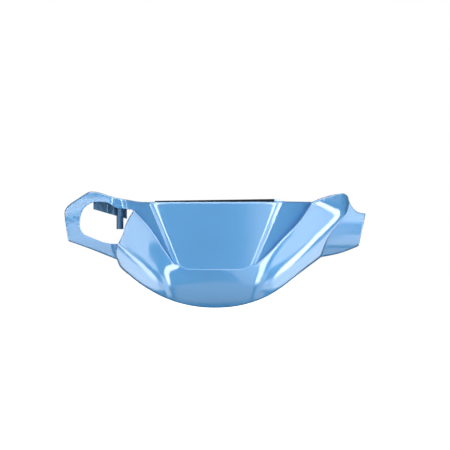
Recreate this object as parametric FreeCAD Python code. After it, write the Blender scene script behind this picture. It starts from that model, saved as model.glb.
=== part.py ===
"""Front handlebar cover of a motor scooter: a thin painted moulding, drawn in millimetres.

+X is to the right as seen from in front, +Y points to the rear (towards the rider) and +Z is up. x = 0 is the
steering plane, y = 0 is half-way from the foremost point of the chin to the rear edge of the collars, and z = 0
is the lowest point of the chin.

The mould opens along Y, so every moulded wall is a column: an outline in the XZ plane, cut off in front and
behind by depth surfaces. Depth is measured rearwards from the foremost point of the chin. Neighbouring walls
share their outlines and depth surfaces and meet face to face, because together they are one moulding.
"""

import FreeCAD, Part  # noqa: E401  (this order matters)
import math
import os

Vector = FreeCAD.Vector

# ---- Driving dimensions -----------------------------------------------------------------------------------
DEPTH = 112.0  # foremost point of the chin to the rear edge of the collars
HALF_DEPTH = DEPTH / 2
WALL = 2.5  # moulded wall, measured along the mould's opening direction
RIM = 2.5  # thickness of the walls that run rearwards
END_LIP = 3.0  # thickness of the lips at the open ends
LIP = 4.0  # depth of the lips at the open ends and around the opening

PANEL_FOOT = 4.0  # depth of the centre panel at its bottom crease
PANEL_FOOT_Z = 57.0
PANEL_LEAN = 0.31  # the panel leans back this much for each millimetre up
PANEL_BOW = 1100.0  # x squared over this is the panel's sideways bow

CHANNEL_TOP = (100.0, 157.0, 46.0)  # x, z and depth where a channel starts beside the panel's bevel
CHANNEL_SLOPE = (0.755, 0.049)  # depth gained for each millimetre outwards and upwards

RING_BASE = 64.0  # depth of the left collar at mid height where the lobe covers it
RING_SLOPE = 0.33
RING_MID = (146.0, 118.0)  # |x| and z of that place
RING_ROLL = 0.004  # how strongly the collar rolls back towards its top and bottom edges
RING_START = (121.0, 150.0)  # |x| between which the channel runs out into the collar

COLLAR_BASE = 70.5  # the same four values for the right collar
COLLAR_SLOPE = 0.33
COLLAR_MID = (158.0, 115.0)
COLLAR_ROLL = 0.006

REAR_CENTRE = (28.0, 54.0)  # depth of the rear edge in the steering plane, at the bottom and at the top
REAR_SWEEP = (50.0, 178.0)  # |x| between which the rear edge sweeps back to the full depth

POST_RADIUS = 5.2  # screw posts
PILOT_RADIUS = 1.7  # pilot holes for 4 mm thread-forming screws
POST_BOTTOM = 116.3
POST_HOLE = 18.0
LEFT_POST = (-141.3, 82.0)  # x and depth of the vertical axes
RIGHT_POST = (154.0, 84.0)

DRIVER_SLOT = 8.0  # width of the slots in the bottom wall that let a screwdriver up to the posts

BOSS_RADIUS = 4.5  # rear screw bosses
BOSS_HOLE = 15.0
BOSS_X = 66.0
BOSS_Z = (38.0, 138.0)
BOSS_END = (36.0, 56.0)  # depth of the lower and the upper bosses' rear faces

HANGING_FLANGE_DEPTH = 86.5
STIFFENER = 1.8  # thickness of ribs
STIFFENER_HEIGHT = 6.0

SEAL_RUN = (-89.0, 88.0)  # the seal strip's ends
SEAL_TOP = (158.4, 161.1)  # its height over its left and right ends
SEAL_WIDTH = 9.0  # front to rear
SEAL_SETBACK = 2.6  # behind the panel's front edge
SEAL_STOP = [(88.2, 161), (96, 160.4), (103.5, 158)]  # the top of the stop against its right end
SEAL_STOP_SETBACK = 5.0

# ---- Outlines in the XZ plane: each list is one curve, and two points are a straight line -------------------
PANEL_TOP = [(-92.4, 157), (93.5, 157.3)]
BEVEL_TOP_LEFT = [(-98.5, 156.5), (-92.4, 157)]
BEVEL_TOP_RIGHT = [(93.5, 157.3), (102, 157.6)]
INNER_LEFT = [(-92.4, 157), (-52, 62.5)]
INNER_RIGHT = [(93.5, 157.3), (53, 62.5)]
OUTER_LEFT = [(-98.5, 156.5), (-60, 64.5)]
OUTER_RIGHT = [(102, 157.6), (59, 63.5)]
FOOT_LEFT = [(-60, 64.5), (-52, 62.5)]
FOOT_RIGHT = [(53, 62.5), (59, 63.5)]
CREASE = [(-52, 62.5), (-44, 58.2), (-30, 57), (0, 57), (30, 57), (44, 58.2), (53, 62.5)]

CREST_LEFT = [(-60, 64.5), (-73.5, 83.5), (-93.5, 113.5), (-121, 144.5)]
CREST_RIGHT = [(59, 63.5), (78.5, 79.5), (102.5, 105), (119, 120.5), (133, 137.5), (145, 157)]
CHANNEL_TOP_LEFT = [(-121, 158.4), (-110, 156.9), (-98.5, 156.5)]
CHANNEL_TOP_RIGHT = [(102, 157.6), (145, 157)]
CHANNEL_END_LEFT = [(-121, 144.5), (-121, 158.4)]

LOBE_TOP_RIGHT = [(145, 157), (157, 162.3), (174, 167.3), (191.5, 170)]
LOBE_CORNER_RIGHT = [(191.5, 170), (197.2, 166), (199.5, 159)]
LOBE_END_RIGHT = [(199.5, 159), (198.5, 145), (185, 126.5), (168.5, 104), (157.5, 74.5)]
OPENING_LOBE = [(-121, 144.5), (-132, 125), (-137, 108), (-144.5, 94)]
LOBE_END_LEFT = [(-144.5, 94), (-147, 82), (-145.5, 71)]
SPLIT_LEFT = [(-60, 64.5), (-58, 8.6)]
SPLIT_RIGHT = [(59, 63.5), (58, 8.9)]
BOTTOM_LEFT = [(-145.5, 71), (-142, 61), (-129, 49.5), (-111.5, 35.8), (-93.5, 24.5), (-76, 15.5), (-58, 8.6)]
BOTTOM = [(-58, 8.6), (-40, 4), (-20, 1), (0, 0), (20, 1), (40, 4), (58, 8.9)]
BOTTOM_RIGHT = [(58, 8.9), (75.5, 16), (93.5, 26.5), (111, 39.5), (129, 53.5), (157.5, 74.5)]

COLLAR_TOP = [(199.5, 159), (204, 149.5), (212, 142), (224.5, 139.5)]
COLLAR_END = [(224.5, 139.5), (214, 91)]
COLLAR_BOTTOM = [(214, 91), (186.5, 80.5), (157.5, 74.5)]

BAR_TOP = [(-187.5, 172.5), (-176, 171.8), (-165, 168.6), (-147, 163), (-129, 160), (-121, 158.4)]
SHOULDER = [(-187.5, 172.5), (-213, 156)]
RING_CORNER = [(-213, 156), (-220.5, 149.5), (-224.5, 142)]
RING_END = [(-224.5, 142), (-223.2, 128), (-218.5, 98.5)]
LOWER_BAR_EDGE = [(-218.5, 98.5), (-188.5, 88), (-145.5, 71)]
OPENING_TOP = [(-121, 144.5), (-134, 146.5), (-147, 147.8), (-152, 151), (-158, 155), (-170, 156.8), (-182, 156.5)]
OPENING_END = [(-182, 156.5), (-194, 148.5), (-199.5, 136.5), (-200.5, 118), (-195, 108.5)]
OPENING_BOTTOM = [(-195, 108.5), (-184.5, 104.3), (-164, 96.5), (-144.5, 94)]
RING_SPLIT_TOP = [(-187.5, 172.5), (-182, 156.5)]
RING_SPLIT_BOTTOM = [(-218.5, 98.5), (-195, 108.5)]

HANGING_FLANGE = [(-181, 146), (-131, 131.5)]  # its lower edge
HANGING_RIBS = (-171.0, -161.0, -152.0)

FRONT_LIMIT, REAR_LIMIT = -40.0, 220.0  # columns run from well in front to well behind
SPAN = (-240.0, 240.0)  # the depth faces cover the whole cover with room to spare
HEIGHT = (-15.0, 190.0)


# ---- Depth surfaces ---------------------------------------------------------------------------------------
def smooth_max(first, second, blend):
    """The larger of two depths, rounded over where they cross."""
    return 0.5 * (first + second + math.hypot(first - second, blend))


def ease(value, start, end):
    """0 before start, 1 after end, smooth between."""
    share = min(1.0, max(0.0, (value - start) / (end - start)))
    return share * share * (3 - 2 * share)


def line_x(line, z):
    """Where a slanting line is at height z."""
    (x0, z0), (x1, z1) = line
    return x0 + (x1 - x0) * (z - z0) / (z1 - z0)


def panel_depth(x, z):
    return PANEL_FOOT + PANEL_LEAN * (z - PANEL_FOOT_Z) + x * x / PANEL_BOW


def channel_depth(x, z):
    start_x, start_z, start = CHANNEL_TOP
    return start + CHANNEL_SLOPE[0] * (abs(x) - start_x) + CHANNEL_SLOPE[1] * (z - start_z)


def bevel_depth(inner, outer):
    """A ruled face from the panel's side line to the channel's side line."""
    def depth(x, z):
        inside, outside = line_x(inner, z), line_x(outer, z)
        near, far = panel_depth(inside, z), channel_depth(outside, z)
        return near + (far - near) * (x - inside) / (outside - inside)
    return depth


def ring_depth(x, z):
    """The left channel runs out into the collar that has the opening in it."""
    collar = RING_BASE + RING_SLOPE * (abs(x) - RING_MID[0]) + RING_ROLL * (z - RING_MID[1]) ** 2
    share = ease(-x, *RING_START)
    return channel_depth(x, z) * (1 - share) + collar * share


def collar_depth(x, z):
    return COLLAR_BASE + COLLAR_SLOPE * (x - COLLAR_MID[0]) + COLLAR_ROLL * (z - COLLAR_MID[1]) ** 2


def bowl_depth(x, z):
    """Chin and lobes: a bowed chin, an upper facet that leans back and a lower facet that turns away."""
    reach = abs(x)
    chin = -0.6 + x * x / 1000 + 0.009 * max(0.0, 40 - z) ** 2
    upper_facet = 4 + 0.40 * (reach - 54) + 0.22 * (z - 62)
    lower_facet = 64 + 0.88 * (reach - 158) - 0.27 * (z - 76)
    return smooth_max(smooth_max(chin, upper_facet, 6), lower_facet, 8 - 4 * ease(reach, 100, 185))


def rear_depth(x, z):
    bottom, top = REAR_CENTRE
    centre = bottom + (top - bottom) * z / 155
    return centre + (DEPTH - centre) * ease(abs(x), *REAR_SWEEP)


# ---- Building blocks --------------------------------------------------------------------------------------
def at(x, depth, z):
    return Vector(x, depth - HALF_DEPTH, z)


def depth_face(function, pitch, x_range=SPAN, z_range=HEIGHT):
    """A smooth face through a depth function's values on a grid over a rectangle of the XZ plane."""
    (x0, x1), (z0, z1) = x_range, z_range
    columns, rows = math.ceil((x1 - x0) / pitch), math.ceil((z1 - z0) / pitch)
    xs = [x0 + (x1 - x0) * i / columns for i in range(columns + 1)]
    zs = [z0 + (z1 - z0) * j / rows for j in range(rows + 1)]
    surface = Part.BSplineSurface()
    surface.interpolate([[at(x, function(x, z), z) for z in zs] for x in xs])
    return surface.toShape()


def behind(face, offset=0.0):
    """Everything behind a depth face that is moved rearwards by offset."""
    moved = face.copy()
    moved.translate(Vector(0, offset, 0))
    return moved.extrude(Vector(0, REAR_LIMIT, 0))


def curve(points):
    vectors = [at(x, FRONT_LIMIT, z) for x, z in points]
    if len(vectors) == 2:
        return Part.makeLine(*vectors)
    spline = Part.BSplineCurve()
    spline.interpolate(vectors)
    return spline.toShape()


def column(*curves):
    """The full-depth column over a closed chain of curves."""
    wire = Part.Wire(Part.__sortEdges__([curve(points) for points in curves]))
    return Part.Face(wire).extrude(Vector(0, REAR_LIMIT - FRONT_LIMIT, 0))


def left_of(start, end):
    """The unit normal to the left of a direction."""
    run = math.hypot(end[0] - start[0], end[1] - start[1])
    return (start[1] - end[1]) / run, (end[0] - start[0]) / run


def strip(points, width):
    """A column as thin as a wall, to the left of the direction in which the points run."""
    side = []
    for i, (x, z) in enumerate(points):
        across, up = left_of(points[max(0, i - 1)], points[min(len(points) - 1, i + 1)])
        side.append((x + width * across, z + width * up))
    return column(points, [points[-1], side[-1]], side[::-1], [side[0], points[0]])


def inset(chain, width):
    """A closed clockwise chain of curves moved inwards, with mitred corners."""
    moved = []
    for i, points in enumerate(chain):
        before, after = chain[i - 1], chain[(i + 1) % len(chain)]
        curve_points = []
        for j, (x, z) in enumerate(points):
            arriving = points[j - 1:j + 1] if j > 0 else before[-2:]
            leaving = points[j:j + 2] if j < len(points) - 1 else after[:2]
            (ax, az), (bx, bz) = left_of(*arriving), left_of(*leaving)
            reach = -width / (1 + ax * bx + az * bz)
            curve_points.append((x + reach * (ax + bx), z + reach * (az + bz)))
        moved.append(curve_points)
    return moved


def slab(region, face):
    """The moulded wall over a region."""
    return region.common(face.extrude(Vector(0, WALL, 0)))


def between(region, front, rear, front_offset=WALL, rear_offset=WALL):
    """The part of a column from behind one depth face to behind another."""
    return region.common(behind(front, front_offset)).cut(behind(rear, rear_offset))


def cylinder(radius, start, end):
    run = end.sub(start)
    return Part.makeCylinder(radius, run.Length, start, run)


def main_solid(shape):
    """The largest solid of a cut, without slivers."""
    return max(shape.Solids, key=lambda solid: solid.Volume)


def by_height(shape):
    """The two largest solids of a cut, the lower one first."""
    pair = sorted(shape.Solids, key=lambda solid: solid.Volume)[-2:]
    return sorted(pair, key=lambda solid: solid.CenterOfMass.z)


def save(name, shape):
    solids = shape.Solids
    joined = solids[0] if len(solids) == 1 else Part.makeCompound(solids)
    joined.exportStep("parts/%s.step" % name)
    box = joined.optimalBoundingBox(False)
    print("%-24s %d solid %8.0f mm3  x %.1f..%.1f  y %.1f..%.1f  z %.1f..%.1f  %s" % (
        name, len(solids), joined.Volume, box.XMin, box.XMax, box.YMin, box.YMax, box.ZMin, box.ZMax,
        "" if joined.isValid() else "NOT VALID"))


# ---- Regions of the front ----------------------------------------------------------------------------------
PANEL_REGION = column(PANEL_TOP, INNER_RIGHT, CREASE, INNER_LEFT)
BEVEL_LEFT_REGION = column(BEVEL_TOP_LEFT, INNER_LEFT, FOOT_LEFT, OUTER_LEFT)
BEVEL_RIGHT_REGION = column(BEVEL_TOP_RIGHT, OUTER_RIGHT, FOOT_RIGHT, INNER_RIGHT)
CHANNEL_LEFT_REGION = column(CHANNEL_TOP_LEFT, OUTER_LEFT, CREST_LEFT, CHANNEL_END_LEFT)
CHANNEL_RIGHT_REGION = column(CHANNEL_TOP_RIGHT, CREST_RIGHT, OUTER_RIGHT)
CHIN_REGION = column(FOOT_LEFT, CREASE, FOOT_RIGHT, SPLIT_RIGHT, BOTTOM, SPLIT_LEFT)
LOBE_LEFT_REGION = column(CREST_LEFT, OPENING_LOBE, LOBE_END_LEFT, BOTTOM_LEFT, SPLIT_LEFT)
LOBE_RIGHT_REGION = column(CREST_RIGHT, LOBE_TOP_RIGHT, LOBE_CORNER_RIGHT, LOBE_END_RIGHT, BOTTOM_RIGHT,
                           SPLIT_RIGHT)
COLLAR_REGION = column(COLLAR_TOP, COLLAR_END, COLLAR_BOTTOM, LOBE_END_RIGHT)
BAR_REGION = column(BAR_TOP, CHANNEL_END_LEFT, OPENING_TOP, RING_SPLIT_TOP)
RING_END_REGION = column(SHOULDER, RING_CORNER, RING_END, RING_SPLIT_BOTTOM, OPENING_END, RING_SPLIT_TOP)
LOWER_BAR_REGION = column(LOWER_BAR_EDGE, LOBE_END_LEFT, OPENING_BOTTOM, RING_SPLIT_BOTTOM)

COVER_EDGE = [
    PANEL_TOP, BEVEL_TOP_RIGHT, CHANNEL_TOP_RIGHT, LOBE_TOP_RIGHT, LOBE_CORNER_RIGHT, COLLAR_TOP, COLLAR_END,
    COLLAR_BOTTOM, BOTTOM_RIGHT[::-1], BOTTOM[::-1], BOTTOM_LEFT[::-1], LOWER_BAR_EDGE[::-1], RING_END[::-1],
    RING_CORNER[::-1], SHOULDER[::-1], BAR_TOP, CHANNEL_TOP_LEFT, BEVEL_TOP_LEFT]
INSIDE_COLUMN = column(*inset(COVER_EDGE, RIM))
RIM_COLUMN = column(*COVER_EDGE).cut(INSIDE_COLUMN)
COLLAR_END_COLUMN = strip(COLLAR_END, -END_LIP)
RING_END_COLUMN = strip(RING_END, END_LIP)

# ---- Depth faces -------------------------------------------------------------------------------------------
PANEL = depth_face(panel_depth, 60)
BEVEL_LEFT = depth_face(bevel_depth(INNER_LEFT, OUTER_LEFT), 8, (-106, -46), (56, 162))
BEVEL_RIGHT = depth_face(bevel_depth(INNER_RIGHT, OUTER_RIGHT), 8, (46, 106), (56, 162))
CHANNEL_LEFT = depth_face(channel_depth, 60, (-240, -20))
CHANNEL_RIGHT = depth_face(channel_depth, 60, (20, 240))
RING = depth_face(ring_depth, 8, (-240, -100))
COLLAR = depth_face(collar_depth, 20, (140, 240))
BOWL = depth_face(bowl_depth, 8)
REAR = depth_face(rear_depth, 15)


# ---- Parts -------------------------------------------------------------------------------------------------
def front_walls():
    """The painted front, one node for each face between style lines."""
    save("centre_panel", slab(PANEL_REGION, PANEL))
    save("panel_bevel_left", slab(BEVEL_LEFT_REGION, BEVEL_LEFT))
    save("panel_bevel_right", slab(BEVEL_RIGHT_REGION, BEVEL_RIGHT))
    save("channel_left", slab(CHANNEL_LEFT_REGION, CHANNEL_LEFT))
    save("channel_right", slab(CHANNEL_RIGHT_REGION, CHANNEL_RIGHT))
    save("chin", slab(CHIN_REGION, BOWL))
    save("lobe_left", slab(LOBE_LEFT_REGION, BOWL))
    save("lobe_right", slab(LOBE_RIGHT_REGION, BOWL))
    save("collar_right", slab(COLLAR_REGION, COLLAR))
    save("ring_upper_bar", slab(BAR_REGION, RING))
    save("ring_end", slab(RING_END_REGION, RING))
    save("ring_lower_bar", slab(LOWER_BAR_REGION, RING))


def step_walls():
    """The walls that join the raised chin and lobes to the sunk panel, channels and collars."""
    crease = strip(CREASE, -RIM).common(CHIN_REGION)
    save("crease_wall", main_solid(between(crease, BOWL, PANEL)))
    crest_left = strip(CREST_LEFT, RIM).common(LOBE_LEFT_REGION).cut(RIM_COLUMN)
    save("crest_wall_left", main_solid(between(crest_left, BOWL, CHANNEL_LEFT)))
    crest_right = strip(CREST_RIGHT, -RIM).common(LOBE_RIGHT_REGION).cut(RIM_COLUMN)
    save("crest_wall_right", main_solid(between(crest_right, BOWL, CHANNEL_RIGHT)))
    end_left = strip(OPENING_LOBE, RIM).fuse(strip(LOBE_END_LEFT, RIM)).common(LOBE_LEFT_REGION)
    end_left = end_left.cut(RIM_COLUMN).cut(strip(CREST_LEFT, RIM))
    save("lobe_end_wall_left", main_solid(between(end_left, BOWL, RING)))
    end_right = strip(LOBE_END_RIGHT, -RIM).common(LOBE_RIGHT_REGION).cut(RIM_COLUMN)
    save("lobe_end_wall_right", main_solid(between(end_right, BOWL, COLLAR)))


def flange(face, *regions):
    """The wall that runs from the front's edge back to the rear edge, over one or more regions."""
    pieces = [between(RIM_COLUMN.common(region), face, REAR, WALL, 0) for region in regions]
    joined = pieces[0]
    for piece in pieces[1:]:
        joined = joined.fuse(piece)
    return joined


def driver_slot(x, depth):
    """The room for a screwdriver under a post, open to the rear."""
    half = DRIVER_SLOT / 2
    slot = Part.makeBox(DRIVER_SLOT, REAR_LIMIT, POST_BOTTOM - HEIGHT[0], at(x - half, depth, HEIGHT[0]))
    return slot.fuse(cylinder(half, at(x, depth, HEIGHT[0]), at(x, depth, POST_BOTTOM)))


def flanges():
    panel_top = main_solid(flange(PANEL, PANEL_REGION))
    bevel_tops = [main_solid(flange(BEVEL_LEFT, BEVEL_LEFT_REGION)), main_solid(flange(BEVEL_RIGHT, BEVEL_RIGHT_REGION))]
    save("top_flange_centre", panel_top.multiFuse(bevel_tops).removeSplitter())
    save("top_flange_left", main_solid(flange(CHANNEL_LEFT, CHANNEL_LEFT_REGION)))
    save("top_flange_right", main_solid(flange(CHANNEL_RIGHT, CHANNEL_RIGHT_REGION)))
    bottom_right, top_right = by_height(flange(BOWL, LOBE_RIGHT_REGION))
    save("lobe_top_flange_right", top_right)
    save("bottom_flange_right", main_solid(bottom_right.cut(driver_slot(*RIGHT_POST))))
    save("bottom_flange_centre", main_solid(flange(BOWL, CHIN_REGION)))
    bottom_left = main_solid(flange(BOWL, LOBE_LEFT_REGION))
    save("bottom_flange_left", main_solid(bottom_left.cut(driver_slot(*LEFT_POST))))

    ring = flange(RING, BAR_REGION, RING_END_REGION, LOWER_BAR_REGION)
    ring_bottom, ring_top = by_height(ring.cut(RING_END_COLUMN))
    save("ring_top_flange", ring_top.removeSplitter())
    save("ring_bottom_flange", ring_bottom.removeSplitter())
    ring_end = RING_END_COLUMN.common(RING_END_REGION)
    save("ring_end_lip", main_solid(between(ring_end, RING, RING, WALL, WALL + LIP)))

    collar_bottom, collar_top = by_height(flange(COLLAR, COLLAR_REGION).cut(COLLAR_END_COLUMN))
    save("collar_top_flange", collar_top)
    save("collar_bottom_flange", collar_bottom)
    collar_end = COLLAR_END_COLUMN.common(COLLAR_REGION)
    save("collar_end_lip", main_solid(between(collar_end, COLLAR, COLLAR, WALL, WALL + LIP)))


def opening_lips():
    """Short lips that stiffen the edge of the opening in the left collar."""
    for name, edge, region in (("opening_lip_top", OPENING_TOP, BAR_REGION),
                               ("opening_lip_end", OPENING_END, RING_END_REGION),
                               ("opening_lip_bottom", OPENING_BOTTOM, LOWER_BAR_REGION)):
        edge_strip = strip(edge, -RIM).common(region).cut(RIM_COLUMN)
        save(name, main_solid(between(edge_strip, RING, RING, WALL, WALL + LIP)))


def screw_posts():
    """Upright posts under the top wall, with pilot holes that open downwards."""
    for name, (x, depth), ceiling in (("screw_post_left", LEFT_POST, 160.0), ("screw_post_right", RIGHT_POST, 159.0)):
        post = cylinder(POST_RADIUS, at(x, depth, POST_BOTTOM), at(x, depth, ceiling))
        hole = cylinder(PILOT_RADIUS, at(x, depth, POST_BOTTOM - 1), at(x, depth, POST_BOTTOM + POST_HOLE))
        save(name, main_solid(post.cut(hole).cut(RIM_COLUMN)))


def hanging_flange():
    """A plate that hangs behind the upper bar, with short ribs up to it."""
    (x0, z0), (x1, z1) = HANGING_FLANGE
    plate = column([(x0, z0), (x1, z1)], [(x1, z1), (x1, 175)], [(x1, 175), (x0, 175)], [(x0, 175), (x0, z0)])
    plate = plate.common(INSIDE_COLUMN)
    front, rear = HANGING_FLANGE_DEPTH - HALF_DEPTH, HANGING_FLANGE_DEPTH + WALL - HALF_DEPTH
    layer = Part.makeBox(500, rear - front, 300, Vector(-250, front, -50))
    post = cylinder(POST_RADIUS, at(LEFT_POST[0], LEFT_POST[1], 0), at(LEFT_POST[0], LEFT_POST[1], 200))
    save("hanging_flange", main_solid(plate.common(layer).common(behind(RING, WALL + LIP)).cut(post)))
    ribs = []
    for x in HANGING_RIBS:
        floor = line_x([(z0, x0), (z1, x1)], x)
        rib = column([(x, floor), (x + STIFFENER, floor)], [(x + STIFFENER, floor), (x + STIFFENER, 175)],
                     [(x + STIFFENER, 175), (x, 175)], [(x, 175), (x, floor)])
        rib = rib.common(INSIDE_COLUMN).common(behind(RING, WALL + LIP))
        ribs.append(main_solid(rib.common(Part.makeBox(500, 200, 300, Vector(-250, front - 200, -50)))))
    save("hanging_flange_ribs", Part.makeCompound(ribs))


def rear_bosses():
    """Bosses with pilot holes that open to the rear, for the screws from the rear cover."""
    for level, z, end, face in (("lower", BOSS_Z[0], BOSS_END[0], BOWL), ("upper", BOSS_Z[1], BOSS_END[1], PANEL)):
        for side, x in (("left", -BOSS_X), ("right", BOSS_X)):
            boss = cylinder(BOSS_RADIUS, at(x, 0, z), at(x, end, z)).common(behind(face, WALL))
            hole = cylinder(PILOT_RADIUS, at(x, end - BOSS_HOLE, z), at(x, end + 1, z))
            save("%s_boss_%s" % (level, side), main_solid(boss.cut(hole)))


def panel_ribs():
    """Two level ribs across the back of the centre panel."""
    ribs = []
    for z in (85.0, 115.0):
        half = line_x(INNER_RIGHT, z) - 4
        rib = column([(-half, z), (half, z)], [(half, z), (half, z + STIFFENER)],
                     [(half, z + STIFFENER), (-half, z + STIFFENER)], [(-half, z + STIFFENER), (-half, z)])
        ribs.append(main_solid(between(rib, PANEL, PANEL, WALL, WALL + STIFFENER_HEIGHT)))
    save("panel_ribs", Part.makeCompound(ribs))


def on_top_wall(top, setback):
    """A solid that lies on the top wall, under a line, some way behind the panel's surface."""
    floor = PANEL_TOP[0][1] - RIM
    (x0, z0), (x1, z1) = top[0], top[-1]
    region = column(top, [(x1, z1), (x1, floor)], [(x1, floor), (x0, floor)], [(x0, floor), (x0, z0)])
    return main_solid(between(region, PANEL, PANEL, setback, setback + SEAL_WIDTH).cut(RIM_COLUMN))


def seal():
    """A soft strip behind the panel's top edge, and the moulded stop against its right end."""
    ends = list(zip(SEAL_RUN, SEAL_TOP))
    save("seal_strip", on_top_wall(ends, SEAL_SETBACK))
    save("seal_stop", on_top_wall(SEAL_STOP, SEAL_STOP_SETBACK))


os.makedirs("parts", exist_ok=True)
front_walls()
step_walls()
flanges()
opening_lips()
screw_posts()
hanging_flange()
rear_bosses()
panel_ribs()
seal()
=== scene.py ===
"""The looks of a motor scooter's front handlebar cover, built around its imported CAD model.

The painted moulding is one skin, drawn in millimetres over the outlines of the CAD walls that it
replaces: x to the right as seen from in front, z up, and depth rearwards from the foremost point of the
chin. The panel, the channels and the right collar lie on the CAD's depth surfaces. The chin, the lobes and
the left collar have finer shapes of their own inside the same box. Patches over the front, walls at the
steps and flanges at the edges share their points, so that together they make one surface, which is then
thickened and smoothed.
"""
import math

import bmesh
import bpy
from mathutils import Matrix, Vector


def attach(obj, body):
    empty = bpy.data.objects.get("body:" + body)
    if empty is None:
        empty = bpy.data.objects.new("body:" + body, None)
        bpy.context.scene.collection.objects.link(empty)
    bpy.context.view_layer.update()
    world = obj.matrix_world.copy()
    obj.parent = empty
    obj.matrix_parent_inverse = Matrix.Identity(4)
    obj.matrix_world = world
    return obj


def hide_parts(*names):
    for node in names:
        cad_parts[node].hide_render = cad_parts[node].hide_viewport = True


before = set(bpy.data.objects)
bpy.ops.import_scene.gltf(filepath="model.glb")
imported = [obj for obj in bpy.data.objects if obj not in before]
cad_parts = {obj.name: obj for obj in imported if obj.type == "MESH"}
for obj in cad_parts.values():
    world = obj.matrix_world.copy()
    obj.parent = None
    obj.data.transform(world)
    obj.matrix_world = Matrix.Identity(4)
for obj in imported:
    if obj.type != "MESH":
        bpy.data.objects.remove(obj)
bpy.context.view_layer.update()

MM = 0.001
DEPTH_ORIGIN = -56.0  # y of depth 0
WALL = 2.4  # thickness of the moulding
FIRST_ROW = 5.5  # how far the first row of a wall or flange is behind its edge
STEP_ROWS = 3  # rows of a step wall
FLANGE_ROWS = 4  # rows of a flange behind the steps
MIDDLE = 4.0  # depth of the step rows under the chin, where there is no step
LIP = 3.0  # depth of the lips around the opening and at the open ends
CRISP, TIGHT, ROUND = 2.0, 3.0, 5.5  # length of the segment beside an edge: a longer one rounds it more
CURVE_STEPS = 24  # points between two of a style line's own

# ---- Style lines: x and z in millimetres, two points for a straight line -------------------------
PANEL_TOP = [(-92.4, 157), (93.5, 157.3)]
BEVEL_TOP_LEFT = [(-92.4, 157), (-98.5, 156.5)]
BEVEL_TOP_RIGHT = [(93.5, 157.3), (102, 157.6)]
INNER_LEFT = [(-52, 62.5), (-92.4, 157)]
INNER_RIGHT = [(53, 62.5), (93.5, 157.3)]
OUTER_LEFT = [(-60, 64.5), (-98.5, 156.5)]
OUTER_RIGHT = [(59, 63.5), (102, 157.6)]
FOOT_LEFT = [(-52, 62.5), (-60, 64.5)]
FOOT_RIGHT = [(53, 62.5), (59, 63.5)]
CREASE = [(-52, 62.5), (-44, 58.2), (-30, 57), (0, 57), (30, 57), (44, 58.2), (53, 62.5)]
CREST_LEFT = [(-60, 64.5), (-73.5, 83.5), (-93.5, 113.5), (-121, 144.5)]
CREST_RIGHT = [(59, 63.5), (78.5, 79.5), (102.5, 105), (119, 120.5), (133, 137.5), (145, 157)]
CHANNEL_TOP_LEFT = [(-98.5, 156.5), (-110, 156.9), (-121, 158.4)]
CHANNEL_TOP_RIGHT = [(102, 157.6), (145, 157)]
CHANNEL_END_LEFT = [(-121, 158.4), (-121, 144.5)]
LOBE_TOP = [(145, 157), (157, 162.3), (174, 167.3), (191.5, 170)]
LOBE_CORNER = [(191.5, 170), (197.2, 166), (199.5, 159)]
LOBE_END_RIGHT = [(199.5, 159), (198.5, 145), (185, 126.5), (168.5, 104), (157.5, 74.5)]
OPENING_LOBE = [(-121, 144.5), (-132, 125), (-137, 108), (-144.5, 94)]
LOBE_END_LEFT = [(-144.5, 94), (-147, 82), (-145.5, 71)]
SPLIT_LEFT = [(-60, 64.5), (-58, 8.6)]
SPLIT_RIGHT = [(59, 63.5), (58, 8.9)]
BOTTOM_LEFT = [(-58, 8.6), (-76, 15.5), (-93.5, 24.5), (-111.5, 35.8), (-129, 49.5), (-142, 61),
               (-145.5, 71)]
BOTTOM = [(-58, 8.6), (-40, 4), (-20, 1), (0, 0), (20, 1), (40, 4), (58, 8.9)]
BOTTOM_RIGHT = [(58, 8.9), (75.5, 16), (93.5, 26.5), (111, 39.5), (129, 53.5), (157.5, 74.5)]
COLLAR_TOP = [(199.5, 159), (204, 149.5), (212, 142), (224.5, 139.5)]
COLLAR_END = [(224.5, 139.5), (214, 91)]
COLLAR_BOTTOM = [(157.5, 74.5), (186.5, 80.5), (214, 91)]
BAR_TOP = [(-121, 158.4), (-129, 160), (-147, 163), (-165, 168.6), (-176, 171.8), (-187.5, 172.5)]
SHOULDER = [(-187.5, 172.5), (-213, 156)]
RING_CORNER = [(-213, 156), (-220.5, 149.5), (-224.5, 142)]
RING_END = [(-224.5, 142), (-223.2, 128), (-218.5, 98.5)]
LOWER_BAR_EDGE = [(-218.5, 98.5), (-188.5, 88), (-145.5, 71)]
OPENING_TOP = [(-121, 144.5), (-134, 146.5), (-147, 147.8), (-152, 151), (-158, 155), (-170, 156.8),
               (-182, 156.5)]
OPENING_END = [(-182, 156.5), (-194, 148.5), (-199.5, 136.5), (-200.5, 118), (-195, 108.5)]
OPENING_BOTTOM = [(-195, 108.5), (-184.5, 104.3), (-164, 96.5), (-144.5, 94)]
RING_SPLIT_TOP = [(-187.5, 172.5), (-182, 156.5)]
RING_SPLIT_BOTTOM = [(-218.5, 98.5), (-195, 108.5)]


# ---- Depth surfaces ------------------------------------------------------------------------------
# A flat facet: distance from the middle, z and depth of a place on it, and its slopes outwards and upwards.
CHANNEL = (100, 157, 46.0, 0.755, 0.049)
UPPER_FACET = (54, 62, 0.15, 0.45, 0.22)
LOWER_FACET = (158, 76, 61.6, 0.88, -0.24)

PANEL_FOOT = (57, 4.0)  # z and depth of the panel's bottom edge
PANEL_LEAN = 0.31
PANEL_BOW = 1100  # x squared over this is the depth gained sideways
RING = (146, 118, 64)  # distance from the middle, z and depth of a place on the left collar
RING_ROLL = 0.004  # how strongly it rolls back above and below that place
RING_START = (128, 154)  # distances from the middle between which the channel runs out into the left collar
COLLAR = (158, 115, 70.5)  # the same for the right collar
COLLAR_ROLL = 0.006
COLLAR_SLOPE = 0.33  # of both collars, outwards

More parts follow.
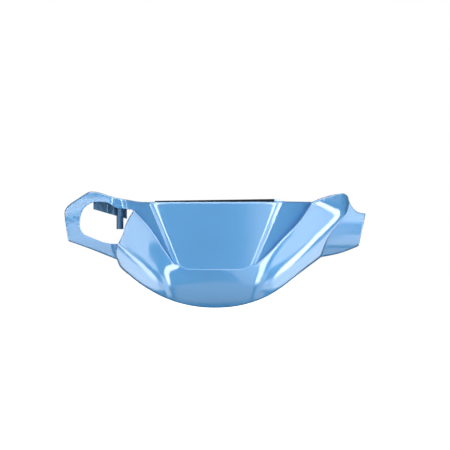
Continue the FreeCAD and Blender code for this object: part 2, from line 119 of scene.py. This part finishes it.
CHIN_FRONT = 0.05  # the chin's smallest depth
CHIN_BOW = 1000
TUCK, TUCK_Z = 0.007, 40  # how strongly the chin tucks in, and below which height
TURN, TURN_BLEND = 0.29, 12.0  # change of slope where the chin turns into a lobe, and how gradual it is
TURN_PLACE = (62, 25)  # the turn's distance from the middle at a z
TURN_FLARE = (0.25, 0.0046)  # how it moves outwards above that: in proportion, and with the square
TURN_SHIFT_LEFT = 6  # how much further out the left turn is
TURN_FADE_LEFT, TURN_FADE_RIGHT = (45, 75), (105, 125)  # heights over which it leaves the upper facet
SCOOP = 0.09  # change of slope at the edge of the left lobe's scoop
SCOOP_FADE = (45, 80)  # heights between which the scoop starts
SCOOP_BLEND = 3
SCOOP_END = (101, 97)  # the edge's distance from the middle, and the z above which it moves outwards
SCOOP_FLARE, SCOOP_FLARE_BLEND = 1.4, 4
FACET_BLEND = 6  # rounding between the chin and the upper facet
EDGE_BLEND = 12  # rounding of the ridge over the lower facet
EDGE_SHARPENING, EDGE_RANGE = 5, (85, 150)  # how much that shrinks outwards, and between which distances
SHOULDER_AWAY = (0.386, 0.922)  # the direction square to the right shoulder's ridge
SHOULDER_PLACE = (153, 156.5)  # a place on the ridge
SHOULDER_SLOPE, SHOULDER_BLEND = 0.25, 4.5
END_X, END_SLOPE, END_BLEND = 194.5, 0.5, 3  # where and how the right lobe rolls back at its outer end
END_FADE = (128, 150)

REAR_MIDDLE, REAR_TOP = (28, 54), 155  # depths of the rear edge in the middle, at z 0 and at the top
REAR_ENDS = 112
REAR_SWEEP = (50, 178)  # distances from the middle between which the rear edge sweeps back


def smooth_max(first, second, blend):
    """The larger of two values, rounded off where they differ by less than blend."""
    near = max(0.0, 1 - abs(first - second) / blend)
    return max(first, second) + 0.25 * blend * near * near


def ease(value, start, end):
    share = min(1.0, max(0.0, (value - start) / (end - start)))
    return share * share * (3 - 2 * share)


def line_x(line, z):
    (x0, z0), (x1, z1) = line
    return x0 + (x1 - x0) * (z - z0) / (z1 - z0)


def flat_depth(facet, reach, z):
    place_reach, place_z, depth, outwards, upwards = facet
    return depth + outwards * (reach - place_reach) + upwards * (z - place_z)


def rolled_depth(place, roll, reach, z):
    """A collar's depth: it slopes outwards and rolls back above and below its middle."""
    place_reach, place_z, depth = place
    return depth + COLLAR_SLOPE * (reach - place_reach) + roll * (z - place_z) ** 2


def panel_depth(x, z):
    foot_z, foot_depth = PANEL_FOOT
    return foot_depth + PANEL_LEAN * (z - foot_z) + x * x / PANEL_BOW


def channel_depth(x, z):
    return flat_depth(CHANNEL, abs(x), z)


def bevel_depth(x, z):
    """A ruled face from the panel's side line to the channel's side line."""
    inner, outer = (INNER_RIGHT, OUTER_RIGHT) if x > 0 else (INNER_LEFT, OUTER_LEFT)
    inside, outside = line_x(inner, z), line_x(outer, z)
    near, far = panel_depth(inside, z), channel_depth(outside, z)
    return near + (far - near) * (x - inside) / (outside - inside)


def ring_depth(x, z):
    """The left channel runs out into the collar that has the opening in it."""
    share = ease(-x, *RING_START)
    return channel_depth(x, z) * (1 - share) + rolled_depth(RING, RING_ROLL, abs(x), z) * share


def collar_depth(x, z):
    return rolled_depth(COLLAR, COLLAR_ROLL, x, z)


def lobe_turn(z):
    """How far from the middle the bowed chin turns into the lobes, at a height."""
    up = z - TURN_PLACE[1]
    return TURN_PLACE[0] + TURN_FLARE[0] * up + TURN_FLARE[1] * up ** 2


def scoop_edge(z):
    """How far from the middle the left lobe's shallow scoop ends, at a height."""
    return SCOOP_END[0] + SCOOP_FLARE * smooth_max(z - SCOOP_END[1], 0, SCOOP_FLARE_BLEND)


def bowl_depth(x, z):
    """Chin and lobes: a bowed chin, an upper facet that leans back and a lower facet that turns away."""
    reach, right = abs(x), x > 0
    beyond = reach - lobe_turn(z) - (TURN_SHIFT_LEFT if x < 0 else 0)
    chin = CHIN_FRONT + x * x / CHIN_BOW + TUCK * max(0.0, TUCK_Z - z) ** 2
    chin += TURN * smooth_max(beyond, 0, TURN_BLEND)
    fade = 1 - ease(z, *(TURN_FADE_RIGHT if right else TURN_FADE_LEFT))
    upper = flat_depth(UPPER_FACET, reach, z) + TURN * fade * smooth_max(-beyond, 0, TURN_BLEND)
    if x < 0:
        upper += SCOOP * ease(z, *SCOOP_FADE) * smooth_max(scoop_edge(z) - reach, 0, SCOOP_BLEND)
    lower = flat_depth(LOWER_FACET, reach, z)
    edge_blend = EDGE_BLEND - EDGE_SHARPENING * ease(reach, *EDGE_RANGE)
    depth = smooth_max(smooth_max(chin, upper, FACET_BLEND), lower, edge_blend)
    if right:
        past = SHOULDER_AWAY[0] * (x - SHOULDER_PLACE[0]) + SHOULDER_AWAY[1] * (z - SHOULDER_PLACE[1])
        depth += (SHOULDER_SLOPE * smooth_max(past, 0, SHOULDER_BLEND)
                  + END_SLOPE * ease(z, *END_FADE) * smooth_max(x - END_X, 0, END_BLEND))
    return depth


def rear_depth(x, z):
    """The rear edge, which sweeps back from the middle to the ends."""
    centre = REAR_MIDDLE[0] + (REAR_MIDDLE[1] - REAR_MIDDLE[0]) * z / REAR_TOP
    return centre + (REAR_ENDS - centre) * ease(abs(x), *REAR_SWEEP)


# ---- Sampled curves ------------------------------------------------------------------------------
def catmull_rom(points):
    """A smooth dense line through points of the XZ plane."""
    if len(points) == 2:
        return [points[0], points[1]]
    first = tuple(2 * a - b for a, b in zip(points[0], points[1]))
    last = tuple(2 * a - b for a, b in zip(points[-1], points[-2]))
    padded = [first] + list(points) + [last]
    dense = []
    for i in range(1, len(padded) - 2):
        p0, p1, p2, p3 = (Vector(p) for p in padded[i - 1:i + 3])
        k0, k1, k2 = ((b - a).length ** 0.5 for a, b in ((p0, p1), (p1, p2), (p2, p3)))
        m1 = (p2 - p1) + k1 * ((p1 - p0) / k0 - (p2 - p0) / (k0 + k1)) if k0 else p2 - p1
        m2 = (p2 - p1) + k1 * ((p3 - p2) / k2 - (p3 - p1) / (k1 + k2)) if k2 else p2 - p1
        for j in range(CURVE_STEPS):
            t = j / CURVE_STEPS
            dense.append(tuple(p1 * (2 * t ** 3 - 3 * t ** 2 + 1) + m1 * (t ** 3 - 2 * t ** 2 + t)
                               + p2 * (3 * t ** 2 - 2 * t ** 3) + m2 * (t ** 3 - t ** 2)))
    dense.append(points[-1])
    return dense


def sample(points, segments, start=0.0, end=0.0):
    """Points along a curve: evenly spaced, or with a close first or last segment of a given length."""
    dense = catmull_rom(points)
    lengths = [0.0]
    for a, b in zip(dense, dense[1:]):
        lengths.append(lengths[-1] + math.dist(a, b))
    total = lengths[-1]
    stops = [0.0] + ([start] if start else [])
    inner = segments - (1 if start else 0) - (1 if end else 0)
    low, high = start, total - end
    stops += [low + (high - low) * i / inner for i in range(1, inner)] + [high]
    stops += [total] if end else []
    found, k = [], 0
    for stop in stops:
        while k < len(lengths) - 2 and lengths[k + 1] < stop:
            k += 1
        share = (stop - lengths[k]) / (lengths[k + 1] - lengths[k])
        a, b = dense[k], dense[k + 1]
        found.append((a[0] + (b[0] - a[0]) * share, a[1] + (b[1] - a[1]) * share))
    found[0], found[-1] = tuple(points[0]), tuple(points[-1])
    return found


def joined(*lines):
    whole = list(lines[0])
    for line in lines[1:]:
        whole += line[1:]
    return whole


# ---- The skin's mesh -----------------------------------------------------------------------------
class Skin:
    """A mesh whose points are merged where they coincide."""

    def __init__(self):
        self.mesh = bmesh.new()
        self.points = {}
        self.crease = self.mesh.edges.layers.float.new("crease_edge")

    def point(self, x, depth, z):
        key = (round(x, 2), round(depth, 2), round(z, 2))
        if key not in self.points:
            self.points[key] = self.mesh.verts.new((x * MM, (depth + DEPTH_ORIGIN) * MM, z * MM))
        return self.points[key]

    def face(self, corners):
        distinct = []
        for corner in corners:
            if corner not in distinct:
                distinct.append(corner)
        if len(distinct) > 2 and not self.mesh.faces.get(distinct):
            self.mesh.faces.new(distinct)

    def grid(self, rows):
        for near, far in zip(rows, rows[1:]):
            for i in range(len(near) - 1):
                self.face([near[i], near[i + 1], far[i + 1], far[i]])

    def patch(self, first, last, left, right, depth):
        """A Coons patch over four sampled sides, laid on a depth surface."""
        columns, rows = len(first), len(left)
        across, down = shares(first, last), shares(left, right)
        grid = []
        for j in range(rows):
            v = down[j]
            line = []
            for i in range(columns):
                u = across[i]
                place = [(1 - v) * first[i][k] + v * last[i][k] + (1 - u) * left[j][k] + u * right[j][k]
                         - (1 - u) * ((1 - v) * first[0][k] + v * last[0][k])
                         - u * ((1 - v) * first[-1][k] + v * last[-1][k]) for k in (0, 1)]
                line.append(self.point(place[0], depth(*place), place[1]))
            grid.append(line)
        self.grid(grid)

    def wall(self, line, *levels):
        """Rows of faces along a sampled line, from the first level's depths through the next ones'.

        levels alternates lists of depths with numbers of rows."""
        columns = []
        for i, (x, z) in enumerate(line):
            column = [levels[0][i]]
            for rows, deeper in zip(levels[1::2], levels[2::2]):
                column += row_depths(column[-1], deeper[i], rows)
            columns.append([self.point(x, depth, z) for depth in column])
        self.grid(columns)

    def crease_line(self, line, levels, weight):
        """Marks the edges along a sampled line as partly sharp."""
        ends = [self.point(x, depth, z) for (x, z), depth in zip(line, levels)]
        for a, b in zip(ends, ends[1:]):
            edge = self.mesh.edges.get((a, b)) if a is not b else None
            if edge:
                edge[self.crease] = weight

    def finished(self, name):
        """The object, with every face turned so that its normal points out of the moulding."""
        bmesh.ops.recalc_face_normals(self.mesh, faces=self.mesh.faces)
        front = min(self.mesh.faces, key=lambda face: face.calc_center_median().y)
        if front.normal.y > 0:
            bmesh.ops.reverse_faces(self.mesh, faces=self.mesh.faces)
        for face in self.mesh.faces:
            face.smooth = True
        data = bpy.data.meshes.new(name)
        self.mesh.to_mesh(data)
        piece = bpy.data.objects.new(name, data)
        bpy.context.scene.collection.objects.link(piece)
        return piece


def shares(one, other):
    """How far along each point is, averaged over two opposite sides."""
    result = []
    for line in (one, other):
        lengths = [0.0]
        for a, b in zip(line, line[1:]):
            lengths.append(lengths[-1] + math.dist(a, b))
        if lengths[-1] > 0:
            result.append([length / lengths[-1] for length in lengths])
    return [sum(values) / len(values) for values in zip(*result)]


def row_depths(front, rear, rows):
    """Depths of a wall's rows behind its front edge. The first row is close where the wall is deep."""
    if rows == 1 or rear - front < FIRST_ROW * rows:
        return [front + (rear - front) * (i + 1) / rows for i in range(rows)]
    first = front + FIRST_ROW
    return [first + (rear - first) * i / (rows - 1) for i in range(rows)]


def depths(line, surface):
    return [surface(x, z) for x, z in line]


def raised(levels, step):
    return [level + step for level in levels]


def middle_depths(line, front, start, end):
    """The depths at which the steps beside a flange end, from one end of the line to the other."""
    reach = [MIDDLE if surface is None else surface(*place) - bowl_depth(*place)
             for surface, place in ((start, line[0]), (end, line[-1]))]
    along = shares(line, line)
    return [level + reach[0] + (reach[1] - reach[0]) * ease(share, 0, 1)
            for level, share in zip(front, along)]


def build_skin():
    skin = Skin()
    panel_top = sample(PANEL_TOP, 22)
    crease = sample(CREASE, 22)
    inner_left, inner_right = (sample(line, 14, CRISP, ROUND) for line in (INNER_LEFT, INNER_RIGHT))
    outer_left, outer_right = (sample(line, 14, CRISP, ROUND) for line in (OUTER_LEFT, OUTER_RIGHT))
    bevel_left, bevel_right = sample(BEVEL_TOP_LEFT, 3), sample(BEVEL_TOP_RIGHT, 3)
    foot_left, foot_right = sample(FOOT_LEFT, 3), sample(FOOT_RIGHT, 3)
    channel_top_left = sample(CHANNEL_TOP_LEFT, 5)
    channel_top_right = sample(CHANNEL_TOP_RIGHT, 7, 0, TIGHT)
    channel_end = sample(CHANNEL_END_LEFT, 5, TIGHT, TIGHT)
    crest_left = sample(CREST_LEFT, 19)
    crest_right = sample(CREST_RIGHT, 14, 0, TIGHT)
    split_left, split_right = (sample(line, 11, TIGHT, ROUND) for line in (SPLIT_LEFT, SPLIT_RIGHT))
    bottom = sample(BOTTOM, 28)
    bottom_left, bottom_right = sample(BOTTOM_LEFT, 14, 0, TIGHT), sample(BOTTOM_RIGHT, 13, 0, TIGHT)
    lobe_end_left = sample(LOBE_END_LEFT, 5, TIGHT, TIGHT)
    lobe_end_right = sample(LOBE_END_RIGHT, 11, CRISP, TIGHT)
    opening_lobe = sample(OPENING_LOBE, 11, TIGHT, 0)
    lobe_top, lobe_corner = sample(LOBE_TOP, 10, TIGHT, TIGHT), sample(LOBE_CORNER, 11)
    collar_top, collar_bottom = (sample(line, 9, TIGHT, TIGHT) for line in (COLLAR_TOP, COLLAR_BOTTOM))
    collar_end = sample(COLLAR_END, 11, TIGHT, TIGHT)
    bar_top, opening_top = sample(BAR_TOP, 14), sample(OPENING_TOP, 14)
    split_top, split_bottom = (sample(line, 5, TIGHT, TIGHT)
                               for line in (RING_SPLIT_TOP, RING_SPLIT_BOTTOM))
    ring_shoulder = joined(sample(SHOULDER, 5), sample(RING_CORNER, 5))
    ring_end = sample(RING_END, 8, 0, TIGHT)
    ring_outer = joined(ring_shoulder, ring_end)
    opening_end = sample(OPENING_END, 18)
    lower_bar_edge = sample(LOWER_BAR_EDGE, 10, TIGHT, TIGHT)
    opening_bottom = sample(OPENING_BOTTOM, 10, 0, TIGHT)

    upper_edge = joined(foot_left[::-1], crease, foot_right)
    lobe_edge_left = joined(bottom_left, lobe_end_left[::-1])
    lobe_edge_right = joined(bottom_right, lobe_end_right[::-1])

    # Front patches.
    skin.patch(crease, panel_top, inner_left, inner_right, panel_depth)
    skin.patch(foot_left, bevel_left, inner_left, outer_left, bevel_depth)
    skin.patch(foot_right, bevel_right, inner_right, outer_right, bevel_depth)
    apex_left, apex_right = [CREST_LEFT[0]] * len(channel_end), [CREST_RIGHT[0]] * len(channel_top_right)
    skin.patch(joined(outer_left, channel_top_left), crest_left, apex_left, channel_end, channel_depth)
    skin.patch(outer_right, crest_right, apex_right, channel_top_right, channel_depth)
    skin.patch(upper_edge, bottom, split_left, split_right, bowl_depth)
    skin.patch(crest_left, lobe_edge_left, split_left, opening_lobe, bowl_depth)
    skin.patch(joined(crest_right, lobe_top), lobe_edge_right, split_right, lobe_corner, bowl_depth)
    skin.patch(bar_top, opening_top, channel_end, split_top, ring_depth)
    skin.patch(ring_outer, opening_end, split_top, split_bottom, ring_depth)
    skin.patch(lower_bar_edge, opening_bottom, split_bottom, lobe_end_left[::-1], ring_depth)
    skin.patch(collar_top, collar_bottom, lobe_end_right, collar_end, collar_depth)

    # Step walls, from the raised bowl back to what lies behind it.
    def step(line, surface):
        skin.wall(line, depths(line, bowl_depth), STEP_ROWS, depths(line, surface))

    step(crest_left, channel_depth)
    step(crest_right, channel_depth)
    step(crease, panel_depth)
    step(foot_left, bevel_depth)
    step(foot_right, bevel_depth)
    step(lobe_end_left, ring_depth)
    step(lobe_end_right, collar_depth)
    front, ring_level = depths(opening_lobe, bowl_depth), depths(opening_lobe, ring_depth)
    skin.wall(opening_lobe, front, STEP_ROWS, ring_level, 1, raised(ring_level, LIP))

    # Lips around the opening and at the open ends.
    for line, surface in ((opening_top, ring_depth), (opening_end, ring_depth),
                          (opening_bottom, ring_depth), (ring_end, ring_depth),
                          (collar_end, collar_depth)):
        level = depths(line, surface)
        skin.wall(line, level, 1, raised(level, LIP))

    # Flanges back to the rear edge.
    for line, surface in ((panel_top, panel_depth), (bevel_left, bevel_depth), (bevel_right, bevel_depth),
                          (channel_top_left, channel_depth), (channel_top_right, channel_depth),
                          (bar_top, ring_depth), (ring_shoulder, ring_depth), (lower_bar_edge, ring_depth),
                          (collar_top, collar_depth), (collar_bottom, collar_depth)):
        skin.wall(line, depths(line, surface), FLANGE_ROWS, depths(line, rear_depth))
    for line, start, end in ((joined(lobe_top, lobe_corner), channel_depth, collar_depth),
                             (bottom_left, None, ring_depth), (bottom_right, None, collar_depth),
                             (bottom, None, None)):
        front = depths(line, bowl_depth)
        middle = middle_depths(line, front, start, end)
        skin.wall(line, front, STEP_ROWS, middle, FLANGE_ROWS, depths(line, rear_depth))

    # Style lines stay crisper than the smoothing alone would leave them.
    for line, surface, weight in (
            (crest_left, channel_depth, 0.8), (crest_right, channel_depth, 0.8),
            (crease, panel_depth, 0.8), (foot_left, bevel_depth, 0.8), (foot_right, bevel_depth, 0.8),
            (lobe_end_left, bowl_depth, 0.4), (lobe_end_left, ring_depth, 0.8),
            (lobe_end_right, collar_depth, 0.8), (opening_lobe, bowl_depth, 0.4),
            (opening_top, ring_depth, 0.4), (opening_end, ring_depth, 0.4),
            (opening_bottom, ring_depth, 0.4)):
        skin.crease_line(line, depths(line, surface), weight)
    return skin.finished("moulding")


moulding = build_skin()
wall = moulding.modifiers.new("wall", "SOLIDIFY")
wall.thickness = WALL * MM
wall.offset = -1
wall.use_even_offset = True
wall.material_offset = 1
wall.material_offset_rim = 1
smooth = moulding.modifiers.new("smooth", "SUBSURF")
smooth.levels = smooth.render_levels = 2
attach(moulding, "root")
KEPT = ("hanging_flange", "hanging_flange_ribs", "screw_post_left", "screw_post_right", "panel_ribs",
        "seal_strip", "seal_stop", "lower_boss_left", "lower_boss_right", "upper_boss_left",
        "upper_boss_right")
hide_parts(*[node for node in sorted(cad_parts) if node not in KEPT])


# ---- Materials -----------------------------------------------------------------------------------
FLAKES = 2600.0  # texture scales, in cells for each metre
CLOUDS = 14.0
ORANGE_PEEL = 700.0
SATIN = 220.0
GRAIN = 900.0
FOAM_CELLS = 1100.0
PAINT_DARK, PAINT_LIGHT = (0.046, 0.203, 0.435), (0.058, 0.237, 0.485)
INNER_DARK, INNER_LIGHT = (0.018, 0.092, 0.20), (0.03, 0.125, 0.26)
RUBBER_DARK, RUBBER_LIGHT = (0.002, 0.004, 0.006), (0.009, 0.015, 0.021)


class Material:
    """A node material whose nodes are added one by one."""

    def __init__(self, name):
        self.data = bpy.data.materials.new(name)
        self.data.use_nodes = True
        self.tree = self.data.node_tree
        self.shader = self.tree.nodes["Principled BSDF"]

    def node(self, kind, inputs=None, **settings):
        made = self.tree.nodes.new(kind)
        for key, value in settings.items():
            setattr(made, key, value)
        for key, value in (inputs or {}).items():
            if isinstance(value, bpy.types.NodeSocket):
                self.tree.links.new(value, made.inputs[key])
            else:
                made.inputs[key].default_value = value
        return made

    def set(self, **values):
        for key, value in values.items():
            socket = self.shader.inputs[key.replace("_", " ")]
            if isinstance(value, bpy.types.NodeSocket):
                self.tree.links.new(value, socket)
            else:
                socket.default_value = value

    def place(self):
        return self.node("ShaderNodeTexCoord").outputs["Object"]

    def noise(self, place, scale, detail=2.0):
        inputs = {"Vector": place, "Scale": scale, "Detail": detail}
        return self.node("ShaderNodeTexNoise", inputs).outputs["Fac"]

    def ramp(self, value, low, high, start=0.35, end=0.65):
        """A colour between two others, as value goes from start to end."""
        made = self.node("ShaderNodeValToRGB", {"Fac": value})
        for element, place, color in zip(made.color_ramp.elements, (start, end), (low, high)):
            element.position, element.color = place, (*color, 1)
        return made.outputs["Color"]

    def between(self, value, low, high):
        inputs = {"Value": value, "To Min": low, "To Max": high}
        return self.node("ShaderNodeMapRange", inputs).outputs["Result"]

    def bumped(self, height, strength, distance):
        inputs = {"Height": height, "Strength": strength, "Distance": distance * MM}
        return self.node("ShaderNodeBump", inputs).outputs["Normal"]


def metallic_paint():
    """Light blue metallic under a clear coat: fine flakes, and a faint orange peel in the clear coat."""
    made = Material("blue_metallic_paint")
    place = made.place()
    flakes = made.node("ShaderNodeTexVoronoi", {"Vector": place, "Scale": FLAKES}).outputs["Color"]
    flake = made.node("ShaderNodeSeparateColor", {"Color": flakes}).outputs["Red"]
    clouds = made.noise(place, CLOUDS)
    mixed = made.node("ShaderNodeMath", {0: flake, 1: clouds}, operation="ADD").outputs[0]
    made.set(Base_Color=made.ramp(mixed, PAINT_DARK, PAINT_LIGHT, 0.3, 0.7))
    made.set(Metallic=0.1, Roughness=made.between(clouds, 0.42, 0.5), Specular_IOR_Level=0.1)
    made.set(Coat_Weight=1.0, Coat_Roughness=0.05, Coat_IOR=1.5)
    made.set(Coat_Normal=made.bumped(made.noise(place, ORANGE_PEEL), 0.015, 0.2))
    return made.data


def moulded_plastic():
    """The inner side: satin plastic with a thin overspray of the paint and a fine moulded grain."""
    made = Material("inner_plastic")
    place = made.place()
    clouds = made.noise(place, CLOUDS, 4.0)
    made.set(Base_Color=made.ramp(clouds, INNER_DARK, INNER_LIGHT), Metallic=0.05)
    made.set(Roughness=made.between(made.noise(place, SATIN), 0.42, 0.55), Specular_IOR_Level=0.25)
    made.set(Coat_Weight=0.1, Coat_Roughness=0.2)
    made.set(Normal=made.bumped(made.noise(place, GRAIN), 0.15, 0.1))
    return made.data


def foam_rubber():
    """The seal strip: matt black with small cells."""
    made = Material("foam_rubber")
    inputs = {"Vector": made.place(), "Scale": FOAM_CELLS}
    cells = made.node("ShaderNodeTexVoronoi", inputs).outputs["Distance"]
    made.set(Base_Color=made.ramp(cells, RUBBER_DARK, RUBBER_LIGHT, 0.1, 0.7))
    made.set(Roughness=0.9, Specular_IOR_Level=0.08, Normal=made.bumped(cells, 0.6, 0.3))
    return made.data


paint, inner, rubber = metallic_paint(), moulded_plastic(), foam_rubber()
moulding.data.materials.append(paint)
moulding.data.materials.append(inner)
FINISH = {"seal_strip": rubber, "seal_stop": paint}
for node in KEPT:
    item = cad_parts[node]
    item.data.materials.clear()
    item.data.materials.append(FINISH.get(node, inner))


# ---- Studio --------------------------------------------------------------------------------------
CENTRE = Vector((0, 0, 0.09))
BOX_DISTANCE = 1.4  # from the centre to a softbox
BOX_EDGE = 0.25  # share of a softbox's width and height over which its edge fades
# The studio's brightness at shares of the height, from straight down to straight up.
SKY = ((0.0, 0.02), (0.25, 0.1), (0.36, 0.5), (0.5, 0.35), (0.7, 0.25), (1.0, 0.3))


def towards(azimuth, elevation):
    """A direction from the object: azimuth 0 is its front, and 90 its right as seen from in front."""
    turn, lift = math.radians(azimuth), math.radians(elevation)
    return Vector((math.sin(turn) * math.cos(lift), -math.cos(turn) * math.cos(lift), math.sin(lift)))


def face_to(item, place, target):
    item.location = place
    item.rotation_euler = (Vector(target) - Vector(place)).to_track_quat("-Z", "Y").to_euler()
    bpy.context.scene.collection.objects.link(item)


def rectangle(name, left, front, right, rear):
    """A flat object in its own XY plane."""
    mesh = bpy.data.meshes.new(name)
    corners = [(left, front, 0), (right, front, 0), (right, rear, 0), (left, rear, 0)]
    mesh.from_pydata(corners, [], [(0, 1, 2, 3)])
    return bpy.data.objects.new(name, mesh)


def softbox(name, azimuth, elevation, width, height, radiance):
    """A soft-edged panel of light that shows only in reflections. Width and height are in degrees."""
    half_x = BOX_DISTANCE * math.tan(math.radians(width / 2))
    half_y = BOX_DISTANCE * math.tan(math.radians(height / 2))
    panel = rectangle(name, -half_x, -half_y, half_x, half_y)
    made = Material(name)
    nodes = made.tree.nodes
    nodes.remove(made.shader)
    spread = made.node("ShaderNodeTexCoord").outputs["Generated"]
    place = made.node("ShaderNodeSeparateXYZ", {"Vector": spread})
    masks = []
    for axis in ("X", "Y"):
        off = made.node("ShaderNodeMath", {0: place.outputs[axis], 1: 0.5}, operation="SUBTRACT").outputs[0]
        reach = made.node("ShaderNodeMath", {0: off}, operation="ABSOLUTE").outputs[0]
        inputs = {"Value": reach, "From Min": 0.5, "From Max": 0.5 - BOX_EDGE}
        masks.append(made.node("ShaderNodeMapRange", inputs,
                               interpolation_type="SMOOTHSTEP").outputs["Result"])
    mask = made.node("ShaderNodeMath", {0: masks[0], 1: masks[1]}, operation="MULTIPLY").outputs[0]
    glow = made.node("ShaderNodeEmission", {"Strength": radiance}).outputs[0]
    clear = made.node("ShaderNodeBsdfTransparent").outputs[0]
    mix = made.node("ShaderNodeMixShader", {0: mask, 1: clear, 2: glow}).outputs[0]
    made.tree.links.new(mix, nodes["Material Output"].inputs["Surface"])
    panel.data.materials.append(made.data)
    panel.visible_camera = panel.visible_diffuse = panel.visible_shadow = panel.visible_transmission = False
    face_to(panel, CENTRE + BOX_DISTANCE * towards(azimuth, elevation), CENTRE)


def lamp(name, place, width, height, power):
    """An area lamp for the even light that doesn't show in reflections."""
    data = bpy.data.lights.new(name, "AREA")
    data.shape = "RECTANGLE"
    data.size, data.size_y = width, height
    data.energy = power
    item = bpy.data.objects.new(name, data)
    item.visible_glossy = False
    face_to(item, place, CENTRE)


def studio_world():
    """White behind the object, and a grey studio in its reflections, brightest just below eye level."""
    world = bpy.data.worlds.new("studio")
    bpy.context.scene.world = world
    world.use_nodes = True
    tree = world.node_tree
    plain = tree.nodes["Background"]
    plain.inputs["Color"].default_value = (1, 1, 1, 1)
    way = tree.nodes.new("ShaderNodeTexCoord").outputs["Generated"]
    split = tree.nodes.new("ShaderNodeSeparateXYZ")
    tree.links.new(way, split.inputs[0])
    height = tree.nodes.new("ShaderNodeMapRange")
    height.inputs["From Min"].default_value = -1.0
    tree.links.new(split.outputs["Z"], height.inputs["Value"])
    ramp = tree.nodes.new("ShaderNodeValToRGB")
    tree.links.new(height.outputs["Result"], ramp.inputs["Fac"])
    stops = ramp.color_ramp.elements
    stops[0].position, stops[0].color = SKY[0][0], (*[SKY[0][1]] * 3, 1)
    stops[1].position, stops[1].color = SKY[-1][0], (*[SKY[-1][1]] * 3, 1)
    for place, level in SKY[1:-1]:
        stops.new(place).color = (level, level, level, 1)
    studio = tree.nodes.new("ShaderNodeBackground")
    tree.links.new(ramp.outputs["Color"], studio.inputs["Color"])
    rays = tree.nodes.new("ShaderNodeLightPath")
    mix = tree.nodes.new("ShaderNodeMixShader")
    tree.links.new(rays.outputs["Is Camera Ray"], mix.inputs[0])
    tree.links.new(studio.outputs[0], mix.inputs[1])
    tree.links.new(plain.outputs[0], mix.inputs[2])
    tree.links.new(mix.outputs[0], tree.nodes["World Output"].inputs["Surface"])


bpy.context.scene.view_settings.view_transform = "Standard"
studio_world()
for name, *box in (  # azimuth, elevation, width, height, radiance
        ("front_fill", -4, 26, 40, 60, 0.6),
        ("front_low", 0, -28, 50, 60, 2.0),
        ("front_glow_right", 17, 14, 18, 110, 3.0),
        ("strip_inner_left", -30, 24, 12, 80, 17.0),
        ("side_wall_left", -77, -12, 48, 30, 8.0),
        ("lobe_low_left", -50, -16, 22, 24, 5.0),
        ("strip_inner_right", 30, 24, 12, 80, 17.0),
        ("side_wall_right", 77, -12, 48, 30, 8.0),
        ("lobe_low_right", 50, -16, 22, 24, 5.0),
        ("facet_fill_right", 50, 28, 18, 38, 6.5),
        ("strip_outer_right", 61, 12, 9, 60, 20.0),
        ("shoulder_fill_right", 74, 44, 20, 20, 6.0),
        ("facet_fill_left", -52, 25, 16, 30, 6.5),
        ("strip_outer_left", -61, 22, 9, 26, 20.0),
        ("ridge_strip_left", -61, 0, 8, 22, 13.0),
        ("bar_fill_left", -40, -14, 18, 60, 5.5),
        ("collar_fill_right", 39, -16, 16, 70, 3.0),
        ("collar_low_right", 48, -36, 14, 18, 3.0),
        ("ceiling", 0, 80, 90, 70, 7.5)):
    softbox(name, *box)
lamp("key", (0.4, -1.5, 1.0), 0.9, 0.7, 1.0)
lamp("fill", (-0.6, -1.5, 0.3), 0.9, 0.7, 1.0)
lamp("low", (0.1, -1.5, -0.45), 1.2, 0.5, 15)

floor = rectangle("floor", -8, -14, 8, 8)
bpy.context.scene.collection.objects.link(floor)
pale = Material("pale_floor")
pale.set(Base_Color=(0.9, 0.9, 0.9, 1), Roughness=0.8, Emission_Color=(1, 1, 1, 1), Emission_Strength=0.95)
floor.data.materials.append(pale.data)
floor.visible_glossy = floor.visible_diffuse = floor.visible_shadow = False

FRAME_WIDTH = 0.668  # how much of the object's plane the frame spans
DISTANCE = 12.0
SENSOR = 36
camera_data = bpy.data.cameras.new("camera")
camera_data.sensor_width = SENSOR
camera_data.lens = SENSOR * DISTANCE / FRAME_WIDTH
camera_data.clip_end = 50
camera = bpy.data.objects.new("camera", camera_data)
camera.location = (0.0149, -DISTANCE, 0.1225)
camera.rotation_euler = (math.radians(90), 0, 0)
bpy.context.scene.collection.objects.link(camera)
bpy.context.scene.camera = camera

bpy.context.view_layer.update()
